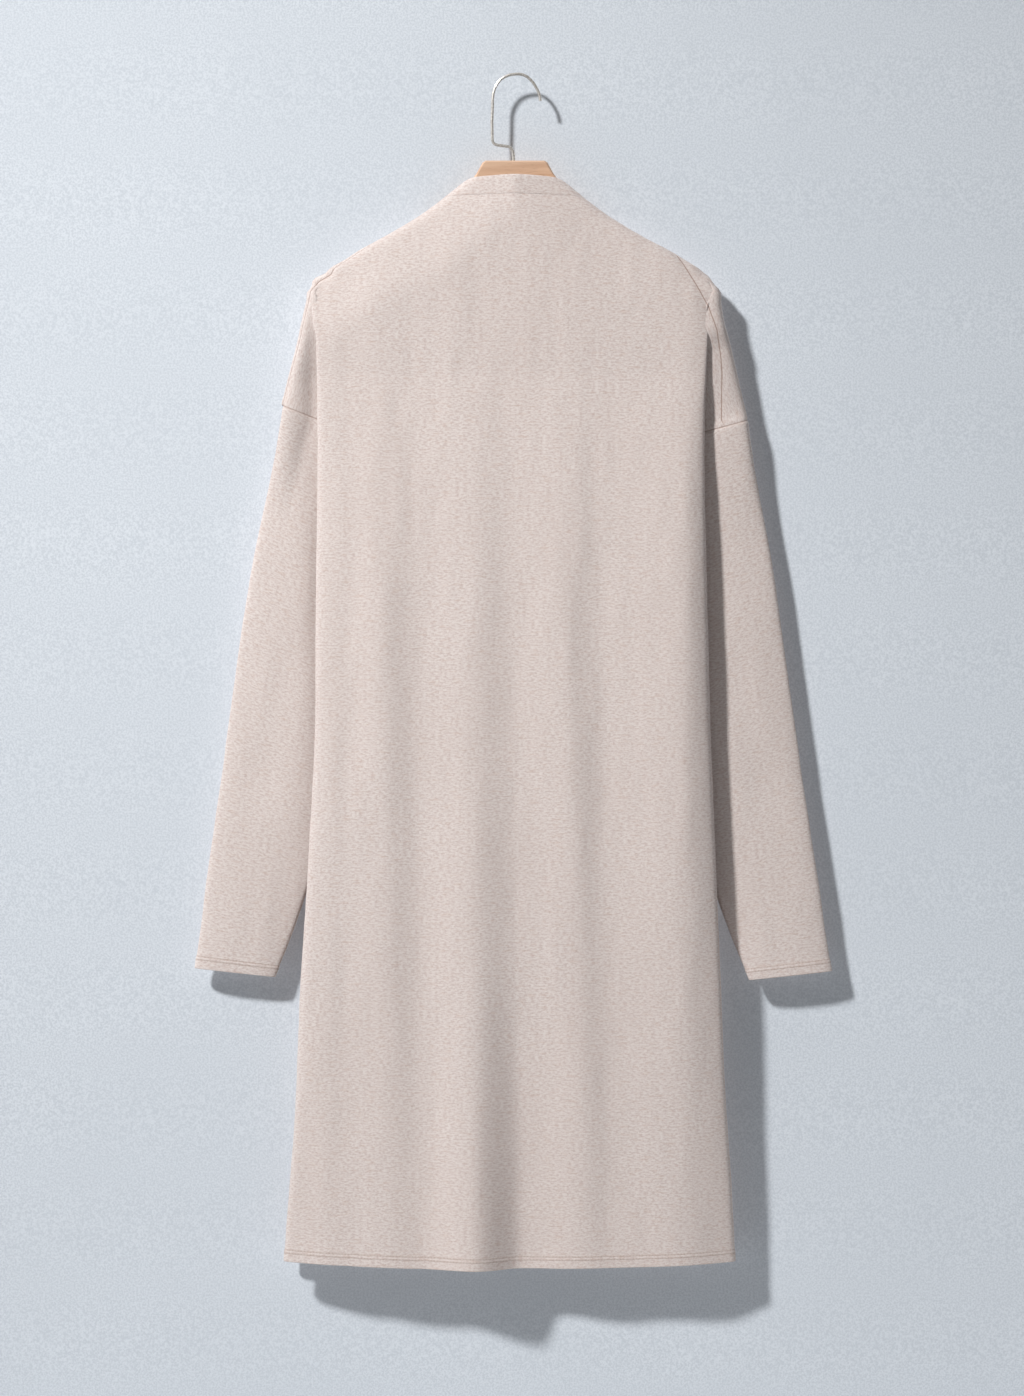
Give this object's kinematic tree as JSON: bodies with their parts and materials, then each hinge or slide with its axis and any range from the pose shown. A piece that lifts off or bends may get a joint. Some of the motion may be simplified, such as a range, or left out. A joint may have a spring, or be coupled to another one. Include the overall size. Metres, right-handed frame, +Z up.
{
  "type": "tunic cardigan on a wooden hanger",
  "caption": "Long open-front drop-shoulder knitted cardigan hanging from a wooden hanger with a wire hook, sleeves hanging behind the folded sides.",
  "frame": {"origin": "underside of the hook's crown, where a peg or rail carries the hanger", "axes": "+Z up, X across the garment, -Y towards the viewer of the garment's back, +Y out of its open front"},
  "size_m": [0.6382, 0.0793, 1.1953],
  "materials": {
    "knit": "oatmeal melange jersey, matt",
    "wood": "satin lacquer",
    "wire": "bright drawn wire"
  },
  "bodies": {
    "root": {"back": "knit", "front_left": "knit", "front_right": "knit", "sleeve_left": "knit", "sleeve_right": "knit", "neckband": "knit", "hanger_wood": "wood", "hanger_hook": "wire"}
  },
  "joints": []
}
